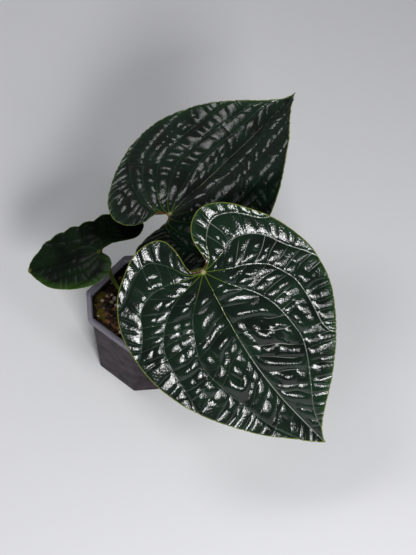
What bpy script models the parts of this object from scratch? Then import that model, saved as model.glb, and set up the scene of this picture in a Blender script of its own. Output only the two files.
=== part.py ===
# Anthurium luxurians in a chamfered square pot.
# Metres, +Z up, origin at the centre of the pot's underside. Lengths below are in mm, turns in degrees.

import math
import random

import bmesh
import bpy
import numpy as np
from mathutils import Matrix, Vector
from mathutils.geometry import delaunay_2d_cdt

MM = 0.001

# Pot: a tapered square with cut corners, outer width over the flange
POT_WIDTH = 90.0
POT_HEIGHT = 88.0
POT_CUT = 20.0
POT_TURN = 57.5
POT_TAPER = 5.0
FLANGE = 3.0
LIP_DEPTH = 4.5
LIP_THICK = 1.1
WALL = 1.1
FLOOR = 1.4
CORNER_RADIUS = 4.0
RIM_EDGE = 0.6
UNDER_FLANGE = 1.2
FOOT_CHAMFER = 1.2
DRAIN_SIZE = (14.0, 5.0)
DRAIN_ROUND = 2.4
DRAIN_OUT = 24.0
GAP = 0.3

# Mix: its surface lies a little below the rim
MIX_TOP = 79.0
BARK_CHIPS = 58
BARK_LONG = (5.0, 10.0)
BARK_ACROSS = (0.45, 0.8)
GRANULES = 34
GRANULE_LONG = (3.0, 5.0)
LUMP_ROUGH = 0.16
LUMP_TILT = 0.5
LUMP_RISE = (-0.8, 1.0)
MIX_SEED = 7

# Crown: the short stem that stands in a plain hole in the mix
CROWN_RADIUS = 7.5
CROWN_SUNK = 17.0
CROWN_TOP = 84.0
# Down the crown's side, shares of its radius and depths below its top: two scars of old leaves stand out
CROWN_SIDE = [(0.0, 0.0), (0.72, 0.0), (0.86, 0.8), (0.9, 3.5), (1.0, 4.6), (0.93, 6.0), (1.0, 9.0),
              (0.95, 20.0)]
CROWN_FOOT = 0.7

# Blades
BLADE_THICK = 0.8
RELIEF = 2.1
VEIN_STEP = 5.0
COLUMN_WIDTH = 12.0
CREST_SPAN = 8.0
CREST_SHARES = (0.33, 0.67)
SHORTEST_RUNG = 4.0
RUNG_DRAW = 0.18
COLUMN_DRAW = 0.06
ZIGZAG = 2.2
# Cross veins from the midrib lie this much wider apart
WIDER = 1.25

# Veins by kind: how deep they lie, 1.25 being the whole relief, and how far to each side the slope reaches
DEEPEST = 1.25
MIDRIB = (1.25, 8.0)
MAIN_VEIN = (1.0, 7.0)
CROSS_VEIN = (0.8, 6.0)
FINE_VEIN = (0.55, 5.0)
MARGIN = (0.8, 4.0)

# The blade is turned up along its margin, but not near the junction
CUP_HIGH = 2.4
CUP_RUN = 16.0
CUP_HUB = 30.0

# A sweeping vein leaves the junction over the first share of its run and drifts to the margin over the last
LEAVE_RUN = 0.3
DRIFT_RUN = 0.6

# Each outline half runs from the base of the sinus round the lobe to the tip.
# x is across the blade, y along it to the tip, and the veins meet at (0, 0).
FRONT_LEFT_EDGE = [(-3, -3), (-6.2, -5), (-7.5, -13), (-8.5, -26), (-15, -37), (-28, -42.5), (-44, -36),
                   (-59, -19), (-71, 0), (-80, 27), (-81, 47), (-77, 70), (-62, 98), (-40, 127), (-17, 152),
                   (-5, 168), (0, 182)]
FRONT_RIGHT_EDGE = [(4, -3.4), (8, -6.5), (9, -13), (8.3, -25), (11, -37.5), (20, -43), (36, -42.4),
                    (52, -34), (67, -22), (79, -2), (84, 25), (81, 60), (66, 97), (42, 134), (21, 158),
                    (7, 175), (0, 182)]
SMALL_LEFT_EDGE = [(-2.5, -3.6), (-9, -9.6), (-17.5, -11), (-25, -6.5), (-31, 4), (-32, 15), (-30, 29),
                   (-24, 46), (-14, 58), (0, 70)]
SMALL_RIGHT_EDGE = [(1.8, -4), (4.3, -11), (4.1, -24), (5.4, -36), (12.4, -42.4), (18.2, -41.5), (26, -34.6),
                    (29.5, -23), (30.3, -12), (27.7, -2), (26.4, 11), (24.5, 28), (20, 46), (15.7, 53),
                    (8, 65), (0, 70)]

# Main veins of the front blade, from the junction outwards: the lobe's vein first, the midrib's neighbour
# last
FRONT_LEFT_ARCS = [[(-10, -6), (-17, -20), (-30, -30), (-46, -25), (-60, -10), (-68, -5)],
                   [(-13, -2), (-26, -5.5), (-36, -8), (-47, -4), (-57, 5), (-65, 19), (-76, 34), (-81, 43)],
                   [(-21, 10), (-32, 14.5), (-45, 24), (-51, 34), (-56, 46), (-57, 58), (-56, 73), (-54, 90),
                    (-57, 104)],
                   [(-12, 19.5), (-24, 36), (-30, 49), (-33, 62), (-34.3, 78), (-34, 90), (-29, 105),
                    (-19, 126), (-8, 150), (-4.5, 169)]]
FRONT_RIGHT_ARCS = [[(12, -6), (20, -20), (32, -31), (48, -27), (62, -18), (73, -13)],
                    [(15, -3.5), (31, -9), (46, -9), (58.5, -3), (66, 9), (74, 20), (84, 30)],
                    [(13, 2), (27, 4.5), (46, 14), (60, 30), (65, 47), (67, 68), (69, 90)],
                    [(12, 9.5), (26, 22), (37, 40), (44, 60), (42, 83), (36, 108), (28, 138), (15, 165)]]

# Fractions of the way from midrib to margin that the other blades' sweeping veins keep, and where they end
REAR_FRACTIONS = [(0.9, 0.4), (0.75, 0.6), (0.56, 0.78), (0.38, 0.9), (0.2, 0.97)]
SMALL_FRACTIONS = [(0.8, 0.5), (0.52, 0.78), (0.26, 0.93)]

# Pose: junction; turn about Z, pitch and roll. Folds rise from the midrib, curls bend the halves down again,
# droops bend tip and lobes down. Curls, droops and fold growth are degrees for each 100 mm. Rungs are the
# millimetres between cross veins. Slants, from the lobe's panel to the midrib's, are the share of its length
# by which a cross vein runs ahead to the tip.
LEAVES = {
    "front": {
        "junction": (48.0, -19.1, 171.0), "turn": (-129.1, -30.1, 25.9),
        "edges": (FRONT_LEFT_EDGE, FRONT_RIGHT_EDGE), "arcs": (FRONT_LEFT_ARCS, FRONT_RIGHT_ARCS),
        "width": (1.0, 1.0), "length": 1.0, "lobe": (1.0, 1.0), "bow": 9.0,
        "fold": (8.0, 8.0), "fold_growth": (0.0, 0.0), "curl": (25.0, 25.0),
        "droop": 12.0, "lobe_droop": 12.0, "relief": 1.0, "rungs": 9.5,
        "slants": (0.0, 0.0, 0.5, 0.45, 0.7), "seed": 11,
    },
    "rear": {
        "junction": (13.4, 56.8, 141.7), "turn": (-42.5, 17.7, -11.1),
        "edges": (FRONT_LEFT_EDGE, FRONT_RIGHT_EDGE), "arcs": REAR_FRACTIONS,
        "width": (1.054, 0.971), "length": 0.834, "lobe": (1.09, 1.4), "bow": 0.0,
        "fold": (15.1, 14.9), "fold_growth": (4.7, 7.9), "curl": (37.6, 34.4),
        "droop": -3.5, "lobe_droop": -18.4, "relief": 0.9, "rungs": 7.6,
        "slants": (0.0, 0.0, 0.0, 0.0, 0.0, 0.7), "seed": 23,
    },
    "left": {
        "junction": (-44.9, 34.8, 104.8), "turn": (100.6, -19.7, -12.7),
        "edges": (SMALL_LEFT_EDGE, SMALL_RIGHT_EDGE), "arcs": SMALL_FRACTIONS,
        "width": (1.0, 1.0), "length": 1.0, "lobe": (1.0, 1.0), "bow": 0.0,
        "fold": (12.0, 12.0), "fold_growth": (0.0, 0.0), "curl": (40.0, 40.0),
        "droop": 20.0, "lobe_droop": 20.0, "relief": 0.6, "rungs": 7.6,
        "slants": (0.0, 0.0, 0.0, 0.7), "seed": 31,
    },
}

# Leaf stalks: root on the crown, points between, radii at root, middle and swollen joint, and the way from
# the junction down the swollen joint, in the blade's axes
PETIOLES = {
    "front": {"root": (2.8, -2.8), "via": [(7, -5, 106), (20, -8, 132), (36, -11, 154)],
              "radii": (2.7, 1.9, 2.6), "joint": (0.0, -0.15, -1.0)},
    "rear": {"root": (1.6, 3.8), "via": [(4, 9, 100), (9, 26, 116), (12, 42, 126)],
             "radii": (2.7, 1.9, 2.5), "joint": (0.0, -0.5, -0.87)},
    "left": {"root": (-4.4, 0.2), "via": [(-11, 2, 87.8), (-22.5, 7.4, 89.3), (-33.2, 21, 93.6)],
             "radii": (2.4, 1.9, 2.2), "joint": (-0.55, -0.35, -0.76)},
}
STALK_STEP = 7.0
STALK_FOOT = 3.0
# Shares of the stalk's run where it has grown slim, stays slim to, and is swollen
STALK_SHARES = (0.22, 0.8, 0.9)
JOINT_END = 0.85
JOINT_REACH = (5.0, 11.0)

COLOURS = {
    "pot": ((0.52, 0.51, 0.56), 0.35),
    "potting_mix": ((0.045, 0.027, 0.018), 0.9),
    "crown": ((0.16, 0.11, 0.05), 0.7),
    "blade_front": ((0.008, 0.028, 0.012), 0.28),
    "blade_rear": ((0.008, 0.028, 0.012), 0.3),
    "blade_left": ((0.006, 0.022, 0.009), 0.45),
    "petiole": ((0.10, 0.13, 0.02), 0.5),
}


def clear_scene():
    for thing in list(bpy.data.objects):
        bpy.data.objects.remove(thing, do_unlink=True)


def new_collection(name):
    found = bpy.data.collections.new(name)
    bpy.context.scene.collection.children.link(found)
    return found


def material(name, colour, roughness):
    made = bpy.data.materials.new(name)
    made.use_nodes = True
    shader = made.node_tree.nodes["Principled BSDF"]
    shader.inputs["Base Color"].default_value = (*colour, 1.0)
    shader.inputs["Roughness"].default_value = roughness
    shader.inputs["Metallic"].default_value = 0.0
    made.diffuse_color = (*colour, 1.0)
    return made


def add_object(name, mesh, collection, colour_name=None):
    thing = bpy.data.objects.new(name, mesh)
    collection.objects.link(thing)
    if colour_name:
        mesh.materials.clear()
        mesh.materials.append(material(name, *COLOURS[colour_name]))
    return thing


def mesh_from(work, name, smooth_angle=35.0):
    mesh = bpy.data.meshes.new(name)
    work.to_mesh(mesh)
    work.free()
    mesh.shade_smooth()
    mesh.set_sharp_from_angle(angle=math.radians(smooth_angle))
    return mesh


def evaluated_mesh(thing):
    graph = bpy.context.evaluated_depsgraph_get()
    return bpy.data.meshes.new_from_object(thing.evaluated_get(graph))


# Paths


def resample(points, step):
    """The same path with evenly spaced points about a step apart."""
    points = np.asarray(points, float)
    run = np.concatenate([[0.0], np.cumsum(np.linalg.norm(np.diff(points, axis=0), axis=1))])
    count = max(1, int(round(run[-1] / step)))
    at = np.linspace(0.0, run[-1], count + 1)
    return np.stack([np.interp(at, run, points[:, axis]) for axis in range(points.shape[1])], axis=1)


def smooth_path(points, step, fine=12):
    """A Catmull-Rom curve through the points, evenly sampled."""
    points = np.asarray(points, float)
    before = np.vstack([points[:1], points[:-1]])
    after = np.vstack([points[2:], points[-1:], points[-1:]])
    t = np.linspace(0.0, 1.0, fine, endpoint=False)[:, None]
    pieces = []
    for p0, p1, p2, p3 in zip(before[:-1], points[:-1], points[1:], after[:-1]):
        pieces.append(0.5 * (2 * p1 + (p2 - p0) * t + (2 * p0 - 5 * p1 + 4 * p2 - p3) * t**2
                             + (3 * p1 - p0 - 3 * p2 + p3) * t**3))
    pieces.append(points[-1:])
    return resample(np.vstack(pieces), step)


# Blades


def scaled(points, leaf, side):
    """Points of a half blade at this leaf's width, length and lobe size."""
    points = np.asarray(points, float)
    lobe = np.where(points[:, 1] < 0.0, leaf["lobe"][side], 1.0)
    return np.stack([points[:, 0] * leaf["width"][side], points[:, 1] * leaf["length"] * lobe], axis=1)


def midrib_offset(y, leaf, length):
    return leaf["bow"] * np.sin(np.pi * y / length)


def sweeping_vein(edge, midrib, fraction, end):
    """A vein that keeps a fraction of the way from midrib to margin and runs into the margin at its end."""
    lobe_back = int(np.argmin(edge[:, 1]))
    outer = resample(edge[lobe_back:], 1.0)
    t = np.linspace(0.0, end, 24)
    pick = t * (len(outer) - 1)
    rim = np.stack([np.interp(pick, np.arange(len(outer)), outer[:, axis]) for axis in (0, 1)], axis=1)
    pick = t * (len(midrib) - 1)
    inner = np.stack([np.interp(pick, np.arange(len(midrib)), midrib[:, axis]) for axis in (0, 1)], axis=1)
    leave = np.clip(t / LEAVE_RUN, 0.0, 1.0)[:, None] ** 0.8
    drift = np.clip((t - end) / DRIFT_RUN + 1.0, 0.0, 1.0)[:, None]
    share = fraction + (1.0 - fraction) * drift**4
    return (1.0 - share) * inner + share * rim * leave


def nearest(path, point):
    return int(np.argmin(np.linalg.norm(path - np.asarray(point), axis=1)))


def blister_crests(low_start, low_end, high_start, high_end):
    """Two points on the rounded ridge of a blister with these four corners, or its middle if it is small."""
    start = 0.5 * (low_start + high_start)
    finish = 0.5 * (low_end + high_end)
    if np.linalg.norm(finish - start) < np.linalg.norm(high_start + high_end - low_start - low_end) * 0.5:
        start = 0.5 * (low_start + low_end)
        finish = 0.5 * (high_start + high_end)
    if np.linalg.norm(finish - start) < CREST_SPAN:
        return [0.5 * (start + finish)]
    return [start + (finish - start) * share for share in CREST_SHARES]


def rungs_between(outer, inner, spacing, slant, draw):
    """Cross veins between two neighbouring veins, the finer lines joining them, and the blisters' crests."""
    count = max(2, int(round(0.5 * (len(outer) + len(inner)) * VEIN_STEP / spacing)))
    rungs = []
    for number in range(1, count):
        share = (number + draw.uniform(-RUNG_DRAW, RUNG_DRAW)) / count
        finish = inner[int(round(share * (len(inner) - 1)))]
        level = int(round(share * (len(outer) - 1)))
        ahead = int(round(slant * np.linalg.norm(outer[level] - finish) / VEIN_STEP))
        start = outer[min(level + ahead, len(outer) - 1)]
        span = finish - start
        width = float(np.linalg.norm(span))
        if width < SHORTEST_RUNG:
            continue
        columns = max(1, int(round(width / COLUMN_WIDTH)))
        across = np.array([-span[1], span[0]]) / width
        line = [start]
        for column in range(1, columns):
            middle = start + span * (column / columns + draw.uniform(-COLUMN_DRAW, COLUMN_DRAW))
            line.append(middle + across * draw.uniform(-ZIGZAG, ZIGZAG))
        line.append(finish)
        rungs.append(np.array(line))
    finer = []
    crests = []
    for here, there in zip(rungs[:-1], rungs[1:]):
        if len(here) == len(there):
            finer += [np.array([here[i], there[i]]) for i in range(1, len(here) - 1)]
            cells = [(here[i], here[i + 1], there[i], there[i + 1]) for i in range(len(here) - 1)]
        else:
            steps = min(len(here), len(there)) - 1
            cuts = np.linspace(0.0, 1.0, steps + 1)[:, None]
            low = here[0] + (here[-1] - here[0]) * cuts
            high = there[0] + (there[-1] - there[0]) * cuts
            cells = [(low[i], low[i + 1], high[i], high[i + 1]) for i in range(steps)]
        crests += [crest for cell in cells for crest in blister_crests(*cell)]
    return rungs, finer, crests


def vein_network(leaf):
    """A flat blade's veins as (path, strength, reach), its outline last, its crests and its length."""
    draw = random.Random(leaf["seed"])
    edges = [smooth_path(scaled(edge, leaf, side), VEIN_STEP) for side, edge in enumerate(leaf["edges"])]
    length = float(edges[0][-1, 1])
    y = np.linspace(0.0, length, int(length / VEIN_STEP) + 1)
    midrib = np.stack([midrib_offset(y, leaf, length), y], axis=1)
    veins = [(midrib, *MIDRIB)]
    crests = []
    for side, edge in enumerate(edges):
        paths = []
        if isinstance(leaf["arcs"][0], tuple):
            shapes = [sweeping_vein(edge, midrib, *pair) for pair in leaf["arcs"]]
        else:
            shapes = [np.vstack([[(0.0, 0.0)], scaled(arc, leaf, side)]) for arc in leaf["arcs"][side]]
        last = 0
        for shape, slant in zip(shapes, leaf["slants"]):
            path = smooth_path(shape, VEIN_STEP)
            stop = nearest(edge, path[-1])
            path[-1] = edge[stop]
            rim = edge[last:stop + 1]
            outer = np.vstack([paths[-1], rim[1:]]) if paths else rim
            rungs, finer, tops = rungs_between(outer, path, leaf["rungs"], slant, draw)
            veins += [(rung, *CROSS_VEIN) for rung in rungs]
            veins += [(line, *FINE_VEIN) for line in finer]
            crests += tops
            paths.append(path)
            last = stop
        outer = np.vstack([paths[-1], edge[last + 1:]])
        rungs, finer, tops = rungs_between(outer, midrib, WIDER * leaf["rungs"], leaf["slants"][-1], draw)
        veins += [(rung, *CROSS_VEIN) for rung in rungs]
        veins += [(line, *FINE_VEIN) for line in finer]
        crests += tops
        veins += [(path, *MAIN_VEIN) for path in paths]
    base = np.array([[0.0, 0.4 * (edges[0][0, 1] + edges[1][0, 1])]])
    outline = np.vstack([base, edges[1], edges[0][-2::-1]])
    veins.append((np.vstack([outline, outline[:1]]), *MARGIN))
    return veins, np.array(crests), length


def distance_to_path(points, path):
    start = path[:-1][None]
    along = np.diff(path, axis=0)[None]
    offset = points[:, None] - start
    square = np.maximum((along**2).sum(axis=2), 1e-9)
    share = np.clip((offset * along).sum(axis=2) / square, 0.0, 1.0)
    return np.sqrt((((offset - share[..., None] * along) ** 2).sum(axis=2)).min(axis=1))


def blister_height(points, veins, leaf):
    """Height of the quilted surface: a parabola rises from each vein, and they blend at the top."""
    sunk = np.zeros(len(points))
    for path, strength, reach in veins:
        low = path.min(axis=0) - reach
        high = path.max(axis=0) + reach
        near = np.nonzero(((points >= low) & (points <= high)).all(axis=1))[0]
        if len(near) == 0:
            continue
        fall = np.clip(1.0 - distance_to_path(points[near], path) / reach, 0.0, 1.0) ** 2
        sunk[near] += (strength * fall) ** 3
    return RELIEF * leaf["relief"] * (DEEPEST - np.minimum(np.cbrt(sunk), DEEPEST))


def margin_rise(points, outline, leaf):
    share = np.clip(1.0 - distance_to_path(points, outline) / CUP_RUN, 0.0, 1.0)
    clear = np.clip(np.linalg.norm(points, axis=1) / CUP_HUB, 0.0, 1.0)
    return CUP_HIGH * leaf["relief"] * share**1.3 * clear**2


def bend(points, height, leaf, length):
    """The flat blade folded at its midrib, curled across and drooping along, in the blade's own axes."""
    x = points[:, 0] - midrib_offset(points[:, 1], leaf, length)
    y = points[:, 1]
    right = x > 0.0
    fold = np.radians(np.where(right, leaf["fold"][1], leaf["fold"][0])
                      + np.where(right, leaf["fold_growth"][1], leaf["fold_growth"][0]) * y / 100.0)
    curl = np.radians(np.where(right, leaf["curl"][1], leaf["curl"][0])) / 100.0
    away = np.abs(x)
    across = (np.sin(fold) - np.sin(fold - curl * away)) / curl
    rise = (np.cos(fold - curl * away) - np.cos(fold)) / curl
    slope = fold - curl * away
    droop = np.radians(np.where(y > 0.0, leaf["droop"], leaf["lobe_droop"])) / 100.0
    arc = droop * y
    side = np.where(right, 1.0, -1.0)
    out = rise + height * np.cos(slope)
    flat_x = side * (across - height * np.sin(slope)) + midrib_offset(y, leaf, length)
    along = np.sin(arc) / droop + out * np.sin(arc)
    up = -(1.0 - np.cos(arc)) / droop + out * np.cos(arc)
    return np.stack([flat_x, along, up], axis=1)


def leaf_matrix(leaf):
    turn, pitch, roll = (math.radians(angle) for angle in leaf["turn"])
    spin = Matrix.Rotation(turn, 4, "Z") @ Matrix.Rotation(pitch, 4, "X") @ Matrix.Rotation(roll, 4, "Y")
    return Matrix.Translation(Vector(leaf["junction"])) @ spin


def blade(name, leaf, collection):
    veins, crests, length = vein_network(leaf)
    corners = []
    links = []
    numbers = {}

    def number_of(point):
        key = (round(float(point[0]), 2), round(float(point[1]), 2))
        if key not in numbers:
            numbers[key] = len(corners)
            corners.append(Vector(key))
        return numbers[key]

    for path, _, _ in veins:
        marks = [number_of(point) for point in path]
        links += [(a, b) for a, b in zip(marks[:-1], marks[1:]) if a != b]
    for crest in crests:
        number_of(crest)
    flat, _, triangles, _, _, _ = delaunay_2d_cdt(corners, links, [], 1, 0.4)
    points = np.array([(spot.x, spot.y) for spot in flat])
    height = blister_height(points, veins, leaf) + margin_rise(points, veins[-1][0], leaf)
    placed = bend(points, height, leaf, length)
    matrix = leaf_matrix(leaf)
    work = bmesh.new()
    spots = [work.verts.new(matrix @ Vector(spot) * MM) for spot in placed]
    for triangle in triangles:
        work.faces.new([spots[i] for i in triangle])
    loose = [spot for spot in work.verts if not spot.link_faces]
    bmesh.ops.delete(work, geom=loose, context="VERTS")
    thing = add_object(name, mesh_from(work, name), collection, name)
    thick = thing.modifiers.new("thickness", "SOLIDIFY")
    thick.thickness = BLADE_THICK * MM
    thick.offset = -1.0
    return thing


# Pot


def cut_square(half, z, steps=2):
    """Corners of a square with cut corners, each of its eight corners rounded."""
    cut = POT_CUT * 2.0 * half / POT_WIDTH
    sharp = []
    for quarter in range(4):
        turn = Matrix.Rotation(math.radians(90.0 * quarter + POT_TURN), 2)
        sharp.append(turn @ Vector((half, half - cut)))
        sharp.append(turn @ Vector((half - cut, half)))
    radius = CORNER_RADIUS * half / (0.5 * POT_WIDTH)
    ring = []
    for i, corner in enumerate(sharp):
        back = (sharp[i - 1] - corner).normalized()
        ahead = (sharp[(i + 1) % 8] - corner).normalized()
        reach = radius * math.tan(math.radians(22.5))
        centre = corner + (back + ahead).normalized() * (radius / math.cos(math.radians(22.5)))
        start = corner + back * reach - centre
        for step in range(steps + 1):
            spoke = Matrix.Rotation(math.radians(45.0 * step / steps), 2) @ start
            ring.append(Vector((*(centre + spoke), z)))
    return ring


def loft(profile, name):
    """A closed body of cut squares, one for each (half width, height) of the profile."""
    work = bmesh.new()
    rings = [[work.verts.new(spot * MM) for spot in cut_square(half, z)] for half, z in profile]
    for below, above in zip(rings[:-1], rings[1:]):
        count = len(below)
        for i in range(count):
            work.faces.new([below[i], below[(i + 1) % count], above[(i + 1) % count], above[i]])
    work.faces.new(rings[0][::-1])
    work.faces.new(rings[-1])
    bmesh.ops.recalc_face_normals(work, faces=work.faces)
    return mesh_from(work, name, 25.0)


def outer_half(z):
    top = 0.5 * POT_WIDTH - FLANGE
    return top - POT_TAPER * (1.0 - z / POT_HEIGHT)


def inner_half(z):
    return outer_half(z) - WALL


def pot(collection, cutters):
    rim = 0.5 * POT_WIDTH
    under = POT_HEIGHT - UNDER_FLANGE
    lip = POT_HEIGHT - LIP_DEPTH
    foot = FLOOR + FOOT_CHAMFER
    profile = [(outer_half(0) - FOOT_CHAMFER, 0.0), (outer_half(FOOT_CHAMFER), FOOT_CHAMFER),
               (outer_half(under), under), (rim - LIP_THICK, under), (rim - LIP_THICK, lip), (rim, lip),
               (rim, POT_HEIGHT - RIM_EDGE), (rim - RIM_EDGE, POT_HEIGHT),
               (inner_half(POT_HEIGHT) + RIM_EDGE, POT_HEIGHT),
               (inner_half(POT_HEIGHT), POT_HEIGHT - RIM_EDGE), (inner_half(foot), foot),
               (inner_half(FLOOR) - FOOT_CHAMFER, FLOOR)]
    body = add_object("pot", loft(profile, "pot"), collection, "pot")
    for quarter in range(4):
        spin = Matrix.Rotation(math.radians(90.0 * quarter + POT_TURN), 4, "Z")
        work = bmesh.new()
        sizes = Matrix.Diagonal((DRAIN_SIZE[0] * MM, DRAIN_SIZE[1] * MM, 4.0 * FLOOR * MM, 1.0))
        place = spin @ Matrix.Translation((DRAIN_OUT * MM, 0, 0))
        bmesh.ops.create_cube(work, size=1.0, matrix=place @ sizes)
        upright = [edge for edge in work.edges if abs(edge.verts[0].co.z - edge.verts[1].co.z) > FLOOR * MM]
        bmesh.ops.bevel(work, geom=upright, offset=DRAIN_ROUND * MM, segments=2, profile=0.5, affect="EDGES")
        slot = add_object(f"drain_{quarter}", mesh_from(work, "drain"), cutters)
        slot.hide_render = True
        slot.display_type = "WIRE"
        cut = body.modifiers.new(f"drain_{quarter}", "BOOLEAN")
        cut.operation = "DIFFERENCE"
        cut.object = slot
    return body


# Potting mix


def inside_pot(x, y, half):
    turn = Matrix.Rotation(-math.radians(POT_TURN), 2)
    spot = turn @ Vector((x, y))
    cut = POT_CUT * 2.0 * half / POT_WIDTH
    flats = max(abs(spot.x), abs(spot.y)) < half
    return flats and abs(spot.x) + abs(spot.y) < 2.0 * half - cut


def chip(draw, collection, number, kind):
    """One lump of the mix, sunk for more than half its height."""
    half = inner_half(MIX_TOP) - 1.0
    while True:
        x = draw.uniform(-half, half)
        y = draw.uniform(-half, half)
        size = draw.uniform(*(BARK_LONG if kind == "bark" else GRANULE_LONG))
        if inside_pot(x, y, half - size) and math.hypot(x, y) > CROWN_RADIUS + size + 1.5:
            break
    lean, sway = (draw.uniform(-LUMP_TILT, LUMP_TILT) for _ in range(2))
    tilt = Matrix.Rotation(lean, 4, "X") @ Matrix.Rotation(sway, 4, "Y")
    place = Matrix.Translation(Vector((x, y, MIX_TOP + draw.uniform(*LUMP_RISE))) * MM)
    turn = Matrix.Rotation(draw.uniform(0.0, math.tau), 4, "Z")
    work = bmesh.new()
    if kind == "bark":
        sizes = Vector((size, size * draw.uniform(*BARK_ACROSS), size * draw.uniform(*BARK_ACROSS)))
        bmesh.ops.create_cube(work, size=1.0)
    else:
        sizes = Vector((size, size, size))
        bmesh.ops.create_icosphere(work, subdivisions=1, radius=0.5)
    for spot in work.verts:
        spot.co *= 1.0 + draw.uniform(-LUMP_ROUGH, LUMP_ROUGH)
    grow = Matrix.Diagonal((*(sizes * MM), 1.0))
    bmesh.ops.transform(work, matrix=place @ turn @ tilt @ grow, verts=work.verts)
    return add_object(f"{kind}_{number}", mesh_from(work, kind), collection)


def apply_boolean(thing, operation, solver, other=None, collection=None):
    step = thing.modifiers.new(operation.lower(), "BOOLEAN")
    step.operation = operation
    step.solver = solver
    if collection:
        step.operand_type = "COLLECTION"
        step.collection = collection
    else:
        step.object = other
    mesh = evaluated_mesh(thing)
    thing.modifiers.remove(step)
    thing.data = mesh


def keep_largest(mesh):
    """Drops the loose scraps that a union leaves."""
    work = bmesh.new()
    work.from_mesh(mesh)
    left = set(work.faces)
    bodies = []
    while left:
        front = [left.pop()]
        body = list(front)
        while front:
            face = front.pop()
            beside = {other for edge in face.edges for other in edge.link_faces} & left
            left -= beside
            front += beside
            body += beside
        bodies.append(body)
    bodies.sort(key=len)
    scraps = [face for body in bodies[:-1] for face in body]
    bmesh.ops.delete(work, geom=scraps, context="FACES")
    work.to_mesh(mesh)
    work.free()


def potting_mix(collection, cutters):
    floor = FLOOR + GAP
    foot = floor + FOOT_CHAMFER
    profile = [(inner_half(FLOOR) - FOOT_CHAMFER - 2.0 * GAP, floor), (inner_half(foot) - GAP, foot),
               (inner_half(MIX_TOP) - GAP, MIX_TOP)]
    body = add_object("potting_mix", loft(profile, "potting_mix"), collection, "potting_mix")
    work = bmesh.new()
    depth = 1.5 * CROWN_SUNK
    middle = Matrix.Translation(Vector((0, 0, MIX_TOP - CROWN_SUNK - GAP + 0.5 * depth)) * MM)
    radius = (CROWN_RADIUS + GAP) * MM
    bmesh.ops.create_cone(work, cap_ends=True, segments=20, radius1=radius, radius2=radius, depth=depth * MM,
                          matrix=middle)
    hole = add_object("crown_hole", mesh_from(work, "crown_hole"), cutters)
    draw = random.Random(MIX_SEED)
    lumps = new_collection("lumps")
    for number in range(BARK_CHIPS):
        chip(draw, lumps, number, "bark")
    for number in range(GRANULES):
        chip(draw, lumps, number, "granule")
    apply_boolean(body, "UNION", "MANIFOLD", collection=lumps)
    apply_boolean(body, "DIFFERENCE", "MANIFOLD", other=hole)
    keep_largest(body.data)
    for lump in list(lumps.objects):
        bpy.data.objects.remove(lump, do_unlink=True)
    bpy.data.objects.remove(hole, do_unlink=True)
    bpy.data.collections.remove(lumps)
    return body


# Crown and leaf stalks


def crown(collection):
    """A short knobbly stem: a turned profile, ringed by the scars of old leaves."""
    bottom = MIX_TOP - CROWN_SUNK
    profile = [(share, CROWN_TOP - drop) for share, drop in CROWN_SIDE]
    profile += [(CROWN_FOOT, bottom), (0.0, bottom)]
    work = bmesh.new()
    spots = [work.verts.new((share * CROWN_RADIUS * MM, 0.0, z * MM)) for share, z in profile]
    edges = [work.edges.new(pair) for pair in zip(spots[:-1], spots[1:])]
    bmesh.ops.spin(work, geom=spots + edges, cent=(0, 0, 0), axis=(0, 0, 1), angle=math.tau, steps=18,
                   use_merge=True)
    bmesh.ops.remove_doubles(work, verts=work.verts, dist=0.01 * MM)
    bmesh.ops.recalc_face_normals(work, faces=work.faces)
    return add_object("crown", mesh_from(work, "crown", 50.0), collection, "crown")


def petiole(name, stalk, leaf, collection):
    """A leaf stalk: thick at its root, slim along its run, swollen below the blade, which it just clears."""
    matrix = leaf_matrix(leaf)
    thick, slim, joint = stalk["radii"]
    way = Vector(stalk["joint"]).normalized()
    clear = BLADE_THICK + GAP + joint * JOINT_END * math.sqrt(1.0 - way.z**2)
    top = matrix @ Vector((0.0, 0.0, -clear))
    near, far = (top + matrix.to_3x3() @ way * reach for reach in JOINT_REACH)
    root = Vector((*stalk["root"], CROWN_TOP + GAP))
    between = [Vector(spot) for spot in stalk["via"]]
    points = [root, root + Vector((0.0, 0.0, STALK_FOOT)), *between, far, near, top]
    path = smooth_path([tuple(spot) for spot in points], STALK_STEP)
    path = np.vstack([points[0], points[1], path[1:-1], points[-2], points[-1]])
    curve = bpy.data.curves.new(name, "CURVE")
    curve.dimensions = "3D"
    curve.bevel_depth = MM
    curve.bevel_resolution = 2
    curve.use_fill_caps = True
    spline = curve.splines.new("POLY")
    spline.points.add(len(path) - 1)
    shares = np.linspace(0.0, 1.0, len(path))
    radii = np.interp(shares, [0.0, *STALK_SHARES, 1.0], [thick, slim, slim, joint, joint * JOINT_END])
    for point, spot, radius in zip(spline.points, path, radii):
        point.co = (*(spot * MM), 1.0)
        point.radius = radius
    wire = bpy.data.objects.new(name + "_path", curve)
    collection.objects.link(wire)
    mesh = evaluated_mesh(wire)
    bpy.data.objects.remove(wire, do_unlink=True)
    work = bmesh.new()
    work.from_mesh(mesh)
    bmesh.ops.remove_doubles(work, verts=work.verts, dist=0.01 * MM)
    bmesh.ops.recalc_face_normals(work, faces=work.faces)
    return add_object(name, mesh_from(work, name), collection, "petiole")


def main():
    clear_scene()
    plant = new_collection("anthurium_luxurians_in_pot")
    cutters = new_collection("cutters")
    pot(plant, cutters)
    potting_mix(plant, cutters)
    crown(plant)
    for place, leaf in LEAVES.items():
        blade(f"blade_{place}", leaf, plant)
        petiole(f"petiole_{place}", PETIOLES[place], leaf, plant)


main()
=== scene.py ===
import math
import random

import bmesh
import bpy
import numpy as np
from mathutils import Matrix, Vector, noise
from mathutils.bvhtree import BVHTree
from mathutils.geometry import delaunay_2d_cdt


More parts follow.
